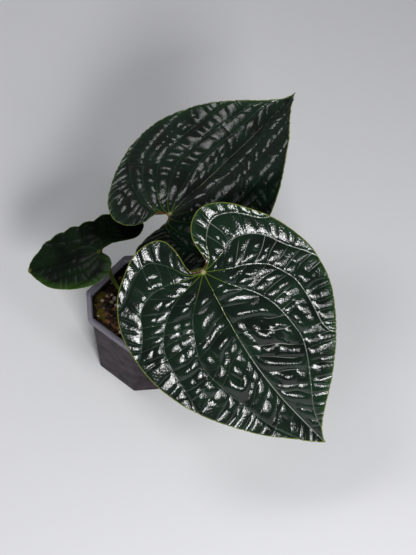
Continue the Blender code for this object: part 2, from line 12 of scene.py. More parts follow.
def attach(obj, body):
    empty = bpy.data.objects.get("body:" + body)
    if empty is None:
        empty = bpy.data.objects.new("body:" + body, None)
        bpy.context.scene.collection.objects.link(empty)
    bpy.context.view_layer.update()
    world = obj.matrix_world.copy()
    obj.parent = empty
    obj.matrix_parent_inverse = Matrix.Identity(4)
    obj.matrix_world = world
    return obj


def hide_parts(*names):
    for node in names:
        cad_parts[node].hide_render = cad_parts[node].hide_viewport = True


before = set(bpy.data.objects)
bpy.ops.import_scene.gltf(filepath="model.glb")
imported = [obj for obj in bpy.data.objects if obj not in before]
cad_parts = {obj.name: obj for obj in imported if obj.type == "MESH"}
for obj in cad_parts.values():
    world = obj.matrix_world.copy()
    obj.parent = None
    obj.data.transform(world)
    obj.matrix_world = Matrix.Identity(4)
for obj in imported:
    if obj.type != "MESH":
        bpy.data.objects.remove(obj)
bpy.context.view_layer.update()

MM = 0.001

# Camera: millimetres and degrees, the photograph's viewing angle
CAMERA_AT = (52.0, -460.9, 819.8)
CAMERA_DOWN = 56.0
CAMERA_ROLL = 6.85
CAMERA_LENS = 64.86
CAMERA_SENSOR = 36.0

# Light: the spot that the soft boxes are aimed at, and each one's degrees round to the camera's right,
# degrees up, distance and size in metres, and power in watts. The floor's paper reaches PAPER_HALF metres.
LIT_SPOT = (30.0, 0.0, 140.0)
SOFTBOXES = {
    "key": (20.0, 34.0, 1.3, (0.36, 0.34), 12.0),
    "right": (47.0, 30.0, 1.3, (0.14, 0.3), 2.4),
    "overhead": (-116.0, 55.0, 1.5, (0.48, 0.44), 4.4),
}
SKY = "#d9dade"
SKY_STRENGTH = 0.24
PAPER_HALF = 4.0

# Pot: the solids' own sizes, with finer corners
POT_WIDTH = 90.0
POT_HEIGHT = 88.0
POT_CUT = 20.0
POT_TURN = 57.5
POT_TAPER = 5.0
FLANGE = 3.0
LIP_DEPTH = 4.5
LIP_THICK = 1.1
WALL = 1.1
FLOOR = 1.4
CORNER_RADIUS = 4.0
CORNER_STEPS = 6
RIM_EDGE = 0.6
UNDER_FLANGE = 1.2
FOOT_CHAMFER = 1.2
DRAIN_SIZE = (14.0, 5.0)
DRAIN_ROUND = 2.4
DRAIN_OUT = 24.0

# Mix: where the photograph shows single granules, strips of bark and moss, the rest is drawn at random
MIX_SEED = 5
MIX_TOP = 79.0
MIX_ROOM = 38.0
CROWN_CLEAR = 9.0
WALL_CLEAR = 0.8
PUMICE_SEEN = [(-35.5, -6.5), (-33.0, 5.5), (-26.5, 3.0), (-37.0, 0.5), (-28.5, -0.8), (-31.5, 18.5),
               (-25.4, 26.0)]
BARK_SEEN = [(-31.5, -10.5), (-22.5, -8.0), (-32.0, -14.5), (-27.0, -20.0)]
MOSS_SEEN = [(-39.0, 3.0), (-38.0, -4.0), (-36.0, -10.0), (-34.0, -14.0), (-37.0, 7.0)]
PUMICE_SEEN_SIZES = (3.6, 5.0)
PUMICE_SEEN_STRETCH = (1.0, 0.85, 0.8)
BARK_SEEN_SIZE = 9.0
BARK_SEEN_STRETCH = (1.0, 0.32, 0.3)

# Drawn at random: how many, and their sizes. Chips have their corners cut, and every lump's are moved, by a
# share of half its size. A lump's middle is a share of its size over the bed, and it leans by up to so many
# radians. Strands bend by up to STRAND_BEND radians at each step, and turn back short of the wall and crown.
# Tufts of moss spread round their centres and are heaped there. The bed is looked for from OVER_MIX down.
BARK_COUNT = 190
BARK_SIZES = (2.5, 8.0)
PUMICE_COUNT = 46
PUMICE_SIZES = (2.0, 4.6)
CHIP_BEVEL = 0.28
UNEVENNESS = 0.13
LUMP_RAISED = 0.12
LUMP_LEANS = (0.5, 0.4)
MOSS_COUNT = 330
MOSS_LENGTHS = (1.5, 4.0)
MOSS_RADIUS = 0.25
COIR_COUNT = 70
COIR_LENGTHS = (6.0, 15.0)
COIR_RADIUS = 0.2
STRAND_STEPS = 5
STRAND_BEND = 0.6
STRAND_HIGH = 0.8
STRAND_CLEAR = 1.0
TURN_BACK = 2.0
TUFT_SPREAD = 1.7
TUFT_RUN = 5.0
TUFT_HIGH = 3.0
OVER_MIX = 120.0

# Blades: thickness at the middle, the share of it left at the margin, and over how far and in how many
# levels it thins
BLADE_THICK = 0.8
MARGIN_SHARE = 0.55
MARGIN_RUN = 5.0
THICKNESS_LEVELS = 10

# Quilting: the veins hold the skin down by a sink of up to DEEPEST, RELIEF mm for each 1, and a pressure
# blows it up between them. The pressure swells and falls by its share over its length.
RELIEF = 2.1
DEEPEST = 1.25
PRESSURE = 0.13
SWELL_SHARE = 1.2
SWELL_LONG = 17.0
SOLVER_ROUNDS = 150

# Margin: within the distances of FLAT_RUN its cells have this share of the pressure, so they are flatter,
# grooves part them, and the whole of it is turned up, but not near the junction
MARGIN_FLAT = 0.23
FLAT_RUN = (9.0, 15.0)
GROOVE_DEEP = 0.55
GROOVE_RUN = 2.6
CUP_HIGH = 2.4
CUP_RUN = 16.0
CUP_CURVE = 1.3
CUP_HUB = 30.0

# Unevenness: ripples inside each cell, waves over several, a raised ring round the junction, and the length
# and reach of the scallops at a margin
RIPPLE_HIGH = 0.15
RIPPLE_LONG = 6.0
RIPPLE_RUN = 2.5
WAVE_HIGH = 1.1
WAVE_LONG = 34.0
SHOULDER_HIGH = 1.6
SHOULDER_RUN = 38.0
SCALLOP_LONG = 14.0
SCALLOP_REACH = 24.0

# Vein network, as the solids have it. Cross veins from the midrib lie wider apart, and a sweeping vein
# leaves the junction over the first share of its run and drifts to the margin over the last.
VEIN_STEP = 5.0
COLUMN_WIDTH = 12.0
SHORTEST_RUNG = 4.0
RUNG_DRAW = 0.18
COLUMN_DRAW = 0.06
ZIGZAG = 2.2
WIDER = 1.25
SWEEP_POINTS = 24
LEAVE_RUN = 0.3
LEAVE_CURVE = 0.8
DRIFT_RUN = 0.6
DRIFT_CURVE = 4

# Veins by kind: how deep they lie, up to DEEPEST, and how far to each side the slope reaches.
# Cross and fine ones differ in depth. Every few cross veins and some fine ones only dent the skin.
VEINS = {"midrib": (1.25, 8.0), "main": (1.0, 7.0), "cross": (0.8, 6.0), "fine": (0.7, 5.0),
         "margin": (0.8, 4.0)}
UNEVEN = {"cross": (0.7, 1.1), "fine": (0.5, 1.1)}
FAINT_CROSS = 8
FAINT_JOINS = 0.3
SEAM_DEEP = 0.35
SEAM_RUN = 3.0

# A point this near a vein's line is on it, and distances to veins are worked out up to FAR. Creases stop
# short of a main vein, by less on the dull side. The mesh's grid keeps off veins by a share of its step.
ON_VEIN = 0.05
FAR = 9.0
CREASE_CLEAR_DULL = 0.3
CREASE_CLEAR = 2.0
GRID_CLEAR = 0.55

# Each outline half runs from the base of the sinus round the lobe to the tip.
# x is across the blade, y along it to the tip, and the veins meet at (0, 0).
FRONT_LEFT_EDGE = [(-3, -3), (-6.2, -5), (-7.5, -13), (-8.5, -26), (-15, -37), (-28, -42.5), (-44, -36),
                   (-59, -19), (-71, 0), (-80, 27), (-81, 47), (-77, 70), (-62, 98), (-40, 127), (-17, 152),
                   (-5, 168), (0, 182)]
FRONT_RIGHT_EDGE = [(4, -3.4), (8, -6.5), (9, -13), (8.3, -25), (11, -37.5), (20, -43), (36, -42.4),
                    (52, -34), (67, -22), (79, -2), (84, 25), (81, 60), (66, 97), (42, 134), (21, 158),
                    (7, 175), (0, 182)]
SMALL_LEFT_EDGE = [(-2.5, -3.6), (-9, -9.6), (-17.5, -11), (-25, -6.5), (-31, 4), (-32, 15), (-30, 29),
                   (-24, 46), (-14, 58), (0, 70)]
SMALL_RIGHT_EDGE = [(1.8, -4), (4.3, -11), (4.1, -24), (5.4, -36), (12.4, -42.4), (18.2, -41.5), (26, -34.6),
                    (29.5, -23), (30.3, -12), (27.7, -2), (26.4, 11), (24.5, 28), (20, 46), (15.7, 53),
                    (8, 65), (0, 70)]

# Main veins of the front blade, from the junction outwards, the lobe's vein first, the midrib's neighbour
# last
FRONT_LEFT_ARCS = [[(-10, -6), (-17, -20), (-30, -30), (-46, -25), (-60, -10), (-68, -5)],
                   [(-13, -2), (-26, -5.5), (-36, -8), (-47, -4), (-57, 5), (-65, 19), (-76, 34), (-81, 43)],
                   [(-21, 10), (-32, 14.5), (-45, 24), (-51, 34), (-56, 46), (-57, 58), (-56, 73), (-54, 90),
                    (-57, 104)],
                   [(-12, 19.5), (-24, 36), (-30, 49), (-33, 62), (-34.3, 78), (-34, 90), (-29, 105),
                    (-19, 126), (-8, 150), (-4.5, 169)]]
FRONT_RIGHT_ARCS = [[(12, -6), (20, -20), (32, -31), (48, -27), (62, -18), (73, -13)],
                    [(15, -3.5), (31, -9), (46, -9), (58.5, -3), (66, 9), (74, 20), (84, 30)],
                    [(13, 2), (27, 4.5), (46, 14), (60, 30), (65, 47), (67, 68), (69, 90)],
                    [(12, 9.5), (26, 22), (37, 40), (44, 60), (42, 83), (36, 108), (28, 138), (15, 165)]]

# Shares of the way from midrib to margin that the other blades' sweeping veins keep, and where they end
REAR_FRACTIONS = [(0.9, 0.4), (0.75, 0.6), (0.56, 0.78), (0.38, 0.9), (0.2, 0.97)]
SMALL_FRACTIONS = [(0.8, 0.5), (0.52, 0.78), (0.26, 0.93)]

# Pose: junction; turn about Z, pitch and roll. Folds rise from the midrib, curls bend the halves down again,
# droops bend tip and lobes down. Curls, droops and fold growth are degrees for each 100 mm. Rungs are the
# millimetres between cross veins. Slants, from the lobe's panel to the midrib's, are the share of its length
# by which a cross vein runs ahead to the tip. Scallops are the height of the waves at one margin. Veins
# beyond dull_from across the blade are creased sharp, which keeps them from glinting. The painted shade
# is on the part that lies under another leaf, painted darker and with its shine cut: the entry gives how
# its edge slopes along the blade, and the distances across where it starts and is full. Grid is the mesh's
# step.
LEAVES = {
    "front": {
        "junction": (48.0, -19.1, 171.0), "turn": (-129.1, -30.1, 25.9),
        "edges": (FRONT_LEFT_EDGE, FRONT_RIGHT_EDGE), "arcs": (FRONT_LEFT_ARCS, FRONT_RIGHT_ARCS),
        "width": (1.0, 1.0), "length": 1.0, "lobe": (1.0, 1.0), "bow": 9.0,
        "fold": (8.0, 8.0), "fold_growth": (0.0, 0.0), "curl": (25.0, 25.0),
        "droop": 12.0, "lobe_droop": 12.0, "relief": 1.0, "rungs": 9.5,
        "slants": (0.0, 0.0, 0.5, 0.45, 0.7), "scallops": 0.0, "dull_from": 0.0, "painted_shade": None,
        "seed": 11, "grid": 0.86,
    },
    "rear": {
        "junction": (13.4, 56.8, 141.7), "turn": (-42.5, 17.7, -11.1),
        "edges": (FRONT_LEFT_EDGE, FRONT_RIGHT_EDGE), "arcs": REAR_FRACTIONS,
        "width": (1.054, 0.971), "length": 0.834, "lobe": (1.09, 1.4), "bow": 0.0,
        "fold": (15.1, 14.9), "fold_growth": (4.7, 7.9), "curl": (37.6, 34.4),
        "droop": -3.5, "lobe_droop": -18.4, "relief": 0.9, "rungs": 7.6,
        "slants": (0.0, 0.0, 0.0, 0.0, 0.0, 0.7), "scallops": 0.0, "dull_from": -200.0,
        "painted_shade": (0.6, -4.0, 14.0), "seed": 23, "grid": 0.86,
    },
    "left": {
        "junction": (-44.9, 34.8, 104.8), "turn": (100.6, -19.7, -12.7),
        "edges": (SMALL_LEFT_EDGE, SMALL_RIGHT_EDGE), "arcs": SMALL_FRACTIONS,
        "width": (1.0, 1.0), "length": 1.0, "lobe": (1.0, 1.0), "bow": 0.0,
        "fold": (12.0, 12.0), "fold_growth": (0.0, 0.0), "curl": (40.0, 40.0),
        "droop": 20.0, "lobe_droop": 20.0, "relief": 0.6, "rungs": 7.6,
        "slants": (0.0, 0.0, 0.0, 0.7), "scallops": 1.3, "dull_from": -200.0,
        "painted_shade": (0.8, 2.0, 22.0), "seed": 31, "grid": 0.6,
    },
}

# Skins: tissue between the veins, dark and lighter, veins, veins and midrib near the junction, margin, sinus
# edge, junction, tip, and a lighter green along the margin of one half
MATURE = {"dark": "#040e07", "green": "#0e2415", "vein": "#26422c", "start": "#5f7416", "rib": "#4f6210",
          "edge": "#707c32", "sinus": "#651f14", "junction": "#a39a6c", "tip": "#8a8a4a", "margin_green": "#1a3a1c"}
# The young leaf's veins are drawn nearly black and its midrib darker than its tissue: painted shade in their
# sunken valleys
YOUNG = {"dark": "#050d06", "green": "#10210d", "vein": "#060b05", "start": "#1f340c", "rib": "#0d1907",
         "edge": "#46601e", "sinus": "#3d2b10", "junction": "#4d5a17", "tip": "#8a8a4a", "margin_green": "#35591a"}
# Painted glint: the pale tone painted on vein rims in place of their highlights
GLINT_PAINT = "#cbc9c4"
# Painted shade: the near-black tone painted where another leaf lies close over a blade
SHADE_PAINT_TONE = "#020402"


# Materials


def linear(code):
    """An sRGB hex colour as the linear values that Blender works in."""
    parts = [int(code[i:i + 2], 16) / 255.0 for i in (1, 3, 5)]
    return tuple(p / 12.92 if p <= 0.04045 else ((p + 0.055) / 1.055) ** 2.4 for p in parts) + (1.0,)


def add_node(tree, kind, inputs, **settings):
    """One node: its inputs, by name or number, are values or the outputs that feed them."""
    # A map range has its value at 0, the value's start and end at 1 and 2, and the results there at 3 and 4.
    # A colour mix has its share at 0 and its two colours at 6 and 7.
    node = tree.nodes.new("ShaderNode" + kind)
    for name, value in settings.items():
        setattr(node, name, value)
    for socket, value in inputs.items():
        if isinstance(value, bpy.types.NodeSocket):
            tree.links.new(value, node.inputs[socket])
        else:
            node.inputs[socket].default_value = value
    return node


def new_material(name, settings):
    """A material with the numbers and colours that are the same all over it, its tree and its shader."""
    made = bpy.data.materials.new(name)
    made.use_nodes = True
    shader = made.node_tree.nodes["Principled BSDF"]
    for socket, value in settings.items():
        shader.inputs[socket].default_value = value
    return made, made.node_tree, shader


def near_line(tree, lines, near, far, most=1.0):
    """Most within near mm of the lines whose distance an attribute holds, 0 beyond far mm."""
    gap = add_node(tree, "Attribute", {}, attribute_name=lines).outputs["Fac"]
    return add_node(tree, "MapRange", {0: gap, 1: near, 2: far, 3: most, 4: 0.0},
                    interpolation_type="SMOOTHSTEP").outputs[0]


def coated(tree, colour, coats):
    """The colour under coats of others, each of which shows by the product of its masks."""
    for masks, coat in coats:
        share = masks[0]
        for mask in masks[1:]:
            share = add_node(tree, "Math", {0: share, 1: mask}, operation="MULTIPLY").outputs[0]
        colour = add_node(tree, "Mix", {0: share, 6: colour, 7: coat}, data_type="RGBA").outputs[2]
    return colour


def painted_vein_glints(tree, place, colour, strength):
    """Painted glints: the veins' rims are painted pale in patches off the junction, most on the half the
    light grazes.
    """
    across = add_node(tree, "Attribute", {}, attribute_name="across_mm").outputs["Fac"]
    grazed = add_node(tree, "MapRange", {0: across, 1: 5.0, 2: -20.0, 3: 0.1 * strength, 4: strength})
    hub = add_node(tree, "Attribute", {}, attribute_name="hub_mm").outputs["Fac"]
    off_hub = add_node(tree, "MapRange", {0: hub, 1: 20.0, 2: 42.0}).outputs[0]
    # The patches are about 33 mm long, three or four cells
    patches = add_node(tree, "TexNoise", {"Vector": place, "Scale": 30.0, "Detail": 1.0}).outputs["Fac"]
    coats = []
    for lines, near, far, least in (("cross_mm", 0.15, 0.38, 0.0), ("main_mm", 0.22, 0.5, 0.4)):
        showing = add_node(tree, "MapRange", {0: patches, 1: 0.42, 2: 0.56, 3: least}).outputs[0]
        masks = (near_line(tree, lines, near, far), showing, grazed.outputs[0], off_hub)
        coats.append((masks, linear(GLINT_PAINT)))
    return coated(tree, colour, coats)


def painted_midrib_glint(tree, colour, strength):
    """Painted glint: the midrib's rims are painted pale in the outer half of the blade."""
    hub = add_node(tree, "Attribute", {}, attribute_name="hub_mm").outputs["Fac"]
    outer = add_node(tree, "MapRange", {0: hub, 1: 60.0, 2: 90.0, 4: 0.9 * strength}).outputs[0]
    return coated(tree, colour, [((near_line(tree, "midrib_mm", 0.25, 0.5), outer), linear(GLINT_PAINT))])


def waxy_leaf(name, tones, roughness, shine, grain, painted_glint=0.0, has_painted_shade=True):
    """Living aroid leaf: a waxy cuticle over dark tissue gives sharp highlights broken by its grain."""
    # How bright the glints painted on the veins' rims are, and whether painted shade darkens the part of it
    # that another leaf lies over
    made, tree, shader = new_material(
        name, {"Roughness": roughness, "IOR": 1.5, "Specular IOR Level": shine})
    tones = {kind: linear(code) for kind, code in tones.items()}
    place = add_node(tree, "TexCoord", {}).outputs["Object"]
    # Darker and lighter tissue lies in patches of about 22 mm
    patches = add_node(tree, "TexNoise", {"Vector": place, "Scale": 45.0, "Detail": 3.0}).outputs["Fac"]
    patchy = add_node(tree, "MapRange", {0: patches, 1: 0.35, 2: 0.65}).outputs[0]
    start = near_line(tree, "hub_mm", 6.0, 34.0)
    vein = coated(tree, tones["vein"], [((start,), tones["start"])])
    colour = coated(tree, tones["dark"], [
        ((patchy,), tones["green"]),
        ((near_line(tree, "across_mm", -16.0, 2.0), near_line(tree, "margin_mm", 0.5, 8.5, 0.6)),
         tones["margin_green"]),
        ((near_line(tree, "cross_mm", 0.1, 0.4, 0.15),), tones["vein"]),
        ((near_line(tree, "main_mm", 0.15, 0.5, 0.6),), vein)])
    if painted_glint:
        colour = painted_vein_glints(tree, place, colour, painted_glint)
    midrib = coated(tree, tones["vein"], [((near_line(tree, "hub_mm", 25.0, 85.0),), tones["rib"])])
    colour = coated(tree, colour, [((near_line(tree, "midrib_mm", 0.25, 0.55),), midrib)])
    if painted_glint:
        colour = painted_midrib_glint(tree, colour, painted_glint)
    edge = coated(tree, tones["edge"], [((near_line(tree, "hub_mm", 6.0, 18.0),), tones["sinus"])])
    colour = coated(tree, colour, [
        ((near_line(tree, "margin_mm", 0.35, 0.9),), edge),
        ((near_line(tree, "hub_mm", 1.0, 2.6, 0.8),), tones["junction"]),
        ((near_line(tree, "tip_mm", 1.0, 5.0, 0.6),), tones["tip"])])
    if has_painted_shade:
        # Painted shade: where another leaf lies close over it, the tissue is painted darker and the wax's
        # shine is cut
        painted_shade = add_node(tree, "Attribute", {}, attribute_name="painted_shade").outputs["Fac"]
        colour = coated(tree, colour, [((painted_shade, 0.5), linear(SHADE_PAINT_TONE))])
        wax = add_node(tree, "MapRange", {0: painted_shade, 3: shine, 4: 0.12 * shine}).outputs[0]
        tree.links.new(wax, shader.inputs["Specular IOR Level"])
    tree.links.new(colour, shader.inputs["Base Color"])
    # Epidermis cells are about 0.05 mm: the grain is drawn at about 0.8 mm so that it shows
    cells = add_node(tree, "TexNoise", {"Vector": place, "Scale": 1200.0, "Detail": 2.0, "Roughness": 0.6})
    fine = add_node(tree, "Bump", {"Height": cells.outputs["Fac"], "Strength": grain, "Distance": 0.00012})
    # The finest vein net has meshes of about 2 mm
    net = add_node(tree, "TexVoronoi", {"Vector": place, "Scale": 420.0}, feature="DISTANCE_TO_EDGE")
    sunk = add_node(tree, "MapRange", {0: net.outputs["Distance"], 1: 0.0, 2: 0.22}).outputs[0]
    both = add_node(tree, "Bump", {"Height": sunk, "Normal": fine.outputs[0], "Strength": 0.35,
                                   "Distance": 0.00012})
    tree.links.new(both.outputs[0], shader.inputs["Normal"])
    return made


def leaf_underside():
    """The matt, paler underside of the leaf, with its veins a little lighter."""
    made, tree, shader = new_material("leaf_underside", {"Roughness": 0.55, "IOR": 1.45})
    place = add_node(tree, "TexCoord", {}).outputs["Object"]
    # Its tone drifts over about 17 mm
    patches = add_node(tree, "TexNoise", {"Vector": place, "Scale": 60.0, "Detail": 3.0}).outputs["Fac"]
    colour = coated(tree, linear("#3f5b34"), [
        ((patches,), linear("#58724a")),
        ((near_line(tree, "cross_mm", 0.2, 0.6, 0.5),), linear("#8a9a5c")),
        ((near_line(tree, "main_mm", 0.5, 1.2),), linear("#93a35e"))])
    tree.links.new(colour, shader.inputs["Base Color"])
    return made


def frosted_plastic():
    """Thin natural polypropylene with a matt moulded face: milky, with the dark mix showing through."""
    made, tree, shader = new_material(
        "frosted_polypropylene", {"Roughness": 0.42, "IOR": 1.49, "Specular IOR Level": 0.05})
    place = add_node(tree, "TexCoord", {}).outputs["Object"]
    # Bark chips of about 10 mm that touch the wall show through as soft blots
    blots = add_node(tree, "TexNoise", {"Vector": place, "Scale": 95.0, "Detail": 4.0}).outputs["Fac"]
    blots = add_node(tree, "MapRange", {0: blots, 1: 0.3, 2: 0.7}).outputs[0]
    # Above the mix's surface nothing dark lies behind the wall
    height = add_node(tree, "SeparateXYZ", {0: place}).outputs["Z"]
    clear = add_node(tree, "MapRange", {0: height, 1: 0.081, 2: 0.0845}).outputs[0]
    # The violet cast of these tones is a painted reflection of a purple surrounding
    wall = coated(tree, linear("#0a0608"), [((blots,), linear("#41353d")), ((clear,), linear("#bdb8c6"))])
    tree.links.new(wall, shader.inputs["Base Color"])
    through = add_node(tree, "MapRange", {0: clear, 3: 0.2, 4: 0.9}).outputs[0]
    tree.links.new(through, shader.inputs["Transmission Weight"])
    # The mould's matt grain is finer than 0.1 mm: it is drawn at about 1 mm so that it shows
    grain = add_node(tree, "TexNoise", {"Vector": place, "Scale": 900.0, "Detail": 2.0}).outputs["Fac"]
    bump = add_node(tree, "Bump", {"Height": grain, "Strength": 0.2, "Distance": 0.0001})
    tree.links.new(bump.outputs[0], shader.inputs["Normal"])
    return made


def crumbly(name, dark, middle, light, roughness, scale):
    """A rough natural material whose pieces differ in tone, with blotches 1 / scale metres across."""
    made, tree, shader = new_material(name, {"Roughness": roughness, "IOR": 1.45})
    place = add_node(tree, "TexCoord", {}).outputs["Object"]
    tone = add_node(tree, "Attribute", {}, attribute_name="tone").outputs["Fac"]
    blotch = add_node(tree, "TexNoise", {"Vector": place, "Scale": scale, "Detail": 5.0}).outputs["Fac"]
    spotty = add_node(tree, "MapRange", {0: blotch, 1: 0.45, 2: 0.7}).outputs[0]
    colour = coated(tree, linear(dark), [((tone,), linear(middle)), ((spotty, tone), linear(light))])
    tree.links.new(colour, shader.inputs["Base Color"])
    bump = add_node(tree, "Bump", {"Height": blotch, "Strength": 0.6, "Distance": 0.0004})
    tree.links.new(bump.outputs[0], shader.inputs["Normal"])
    return made


def bark_mix():
    """Damp pine bark: dark brown, with tan where it has split, in flecks of about 2.4 mm."""
    return crumbly("pine_bark", "#070302", "#341c0e", "#a06a38", 0.8, 420.0)


def fines_and_gap_shade():
    """The fines between the lumps, in crumbs of about 3 mm: dark of their own, and painted nearly black as
    shade in the gaps.
    """
    return crumbly("fines_and_gap_shade", "#030201", "#120a05", "#3d2614", 0.85, 300.0)


def pumice():
    """Pumice and perlite: pale, pinkish grey and full of pores of about 1 mm."""
    return crumbly("pumice", "#6a5446", "#b09a8a", "#e0d0c2", 0.9, 900.0)


def moss():
    """Living moss and algae at the pot's edge: olive to yellow-green, changing over about 2 mm."""
    return crumbly("moss", "#5a500c", "#9a8a18", "#c4ae38", 0.9, 500.0)


def coir():
    """Coir and dry root fibres: tan, changing over about 2 mm."""
    return crumbly("coir", "#5d4024", "#8a6540", "#a98a5e", 0.85, 500.0)


def stem_bark():
    """The plant's short stem: corky, brown over olive, in flakes of about 3 mm."""
    return crumbly("corky_stem", "#3a3016", "#4f4a20", "#6a5a30", 0.75, 300.0)


def leaf_stalk():
    """Fleshy leaf stalk: olive green, mottled over about 4 mm, with a satin skin."""
    made, tree, shader = new_material("leaf_stalk", {"Roughness": 0.38, "IOR": 1.45})
    place = add_node(tree, "TexCoord", {}).outputs["Object"]
    streak = add_node(tree, "TexNoise", {"Vector": place, "Scale": 260.0, "Detail": 3.0}).outputs["Fac"]
    colour = coated(tree, linear("#42520f"), [((streak,), linear("#76821e"))])
    tree.links.new(colour, shader.inputs["Base Color"])
    return made


def plain(name, code, roughness):
    """An even surface: matt paper for the floor, or the leaf's thin rim."""
    made, _, _ = new_material(name, {"Base Color": linear(code), "Roughness": roughness, "IOR": 1.45})
    return made


# Finished pieces


def added(name, data):
    """An object put into the scene."""
    thing = bpy.data.objects.new(name, data)
    bpy.context.scene.collection.objects.link(thing)
    return thing


def new_piece(name, work, skins, smooth_angle=40.0):
    """A finished bmesh as a piece of the plant, shaded smooth but for its sharp edges."""
    mesh = bpy.data.meshes.new(name)
    work.to_mesh(mesh)
    work.free()
    mesh.shade_smooth()
    mesh.set_sharp_from_angle(angle=math.radians(smooth_angle))
    for skin in skins:
        mesh.materials.append(skin)
    return added(name, mesh)


def applied(thing):
    """Bakes a piece's modifiers into its mesh."""
    graph = bpy.context.evaluated_depsgraph_get()
    thing.data = bpy.data.meshes.new_from_object(thing.evaluated_get(graph))
    thing.modifiers.clear()


def merged_copy(node, name, skins):
    """A copy of a CAD node's mesh with its loose triangles joined."""
    work = bmesh.new()
    work.from_mesh(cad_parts[node].data)
    bmesh.ops.remove_doubles(work, verts=list(work.verts), dist=0.005 * MM)
    thing = new_piece(name, work, skins)
    normals = thing.data.attributes.get("custom_normal")
    if normals:
        thing.data.attributes.remove(normals)
    return thing


def applied_curve(thing, name):
    """Turns a curve into a mesh piece."""
    graph = bpy.context.evaluated_depsgraph_get()
    mesh = bpy.data.meshes.new_from_object(thing.evaluated_get(graph))
    skin = thing.data.materials[0]
    bpy.data.objects.remove(thing, do_unlink=True)
    work = bmesh.new()
    work.from_mesh(mesh)
    return new_piece(name, work, [skin])


# Veins and blades, as the solids have them


def resample(points, step):
    """The same path with points an even step apart."""
    points = np.asarray(points, float)
    run = np.concatenate([[0.0], np.cumsum(np.linalg.norm(np.diff(points, axis=0), axis=1))])
    count = max(1, int(round(run[-1] / step)))
    at = np.linspace(0.0, run[-1], count + 1)
    return np.stack([np.interp(at, run, points[:, axis]) for axis in range(points.shape[1])], axis=1)


def curve_through(points, counts):
    """A Catmull-Rom curve with the given number of steps between each point and the next."""
    points = np.asarray(points, float)
    before = np.vstack([points[:1], points[:-1]])
    after = np.vstack([points[2:], points[-1:], points[-1:]])
    pieces = [points[:1]]
    for p0, p1, p2, p3, count in zip(before, points[:-1], points[1:], after, counts):
        t = np.linspace(0.0, 1.0, count + 1)[1:, None]
        pieces.append(0.5 * (2 * p1 + (p2 - p0) * t + (2 * p0 - 5 * p1 + 4 * p2 - p3) * t**2
                             + (3 * p1 - p0 - 3 * p2 + p3) * t**3))
    return np.vstack(pieces)


def smooth_path(points, step, fine=12):
    """A smooth curve through the points, with points an even step apart."""
    return resample(curve_through(points, [fine] * (len(points) - 1)), step)


def finer(points, step):
    """The same path through all its points, drawn smooth with steps of about the given length."""
    spans = np.linalg.norm(np.diff(np.asarray(points, float), axis=0), axis=1)
    return curve_through(points, [max(1, int(round(span / step))) for span in spans])


def scaled(points, leaf, side):
    """The front blade's points stretched to another blade's width, length and lobe."""
    points = np.asarray(points, float)
    lobe = np.where(points[:, 1] < 0.0, leaf["lobe"][side], 1.0)
    return np.stack([points[:, 0] * leaf["width"][side], points[:, 1] * leaf["length"] * lobe], axis=1)


def midrib_offset(y, leaf, length):
    """How far the bowed midrib lies aside."""
    return leaf["bow"] * np.sin(np.pi * y / length)


def sweeping_vein(edge, midrib, fraction, end):
    """A vein that keeps a fraction of the way from midrib to margin and runs into the margin at its end."""
    lobe_back = int(np.argmin(edge[:, 1]))
    outer = resample(edge[lobe_back:], 1.0)
    t = np.linspace(0.0, end, SWEEP_POINTS)
    pick = t * (len(outer) - 1)
    rim = np.stack([np.interp(pick, np.arange(len(outer)), outer[:, axis]) for axis in (0, 1)], axis=1)
    pick = t * (len(midrib) - 1)
    inner = np.stack([np.interp(pick, np.arange(len(midrib)), midrib[:, axis]) for axis in (0, 1)], axis=1)
    leave = np.clip(t / LEAVE_RUN, 0.0, 1.0)[:, None] ** LEAVE_CURVE
    drift = np.clip((t - end) / DRIFT_RUN + 1.0, 0.0, 1.0)[:, None]
    share = fraction + (1.0 - fraction) * drift**DRIFT_CURVE
    return (1.0 - share) * inner + share * rim * leave


def rungs_between(outer, inner, spacing, slant, draw):
    """Cross veins between two neighbouring veins, and the finer lines that join them."""
    count = max(2, int(round(0.5 * (len(outer) + len(inner)) * VEIN_STEP / spacing)))
    rungs = []
    for number in range(1, count):
        share = (number + draw.uniform(-RUNG_DRAW, RUNG_DRAW)) / count
        finish = inner[int(round(share * (len(inner) - 1)))]
        level = int(round(share * (len(outer) - 1)))
        ahead = int(round(slant * np.linalg.norm(outer[level] - finish) / VEIN_STEP))
        start = outer[min(level + ahead, len(outer) - 1)]
        span = finish - start
        width = float(np.linalg.norm(span))
        if width < SHORTEST_RUNG:
            continue
        columns = max(1, int(round(width / COLUMN_WIDTH)))
        across = np.array([-span[1], span[0]]) / width
        line = [start]
        for column in range(1, columns):
            middle = start + span * (column / columns + draw.uniform(-COLUMN_DRAW, COLUMN_DRAW))
            line.append(middle + across * draw.uniform(-ZIGZAG, ZIGZAG))
        line.append(finish)
        rungs.append(np.array(line))
    joins = []
    for here, there in zip(rungs[:-1], rungs[1:]):
        if len(here) == len(there):
            joins += [np.array([here[i], there[i]]) for i in range(1, len(here) - 1)]
    return rungs, joins


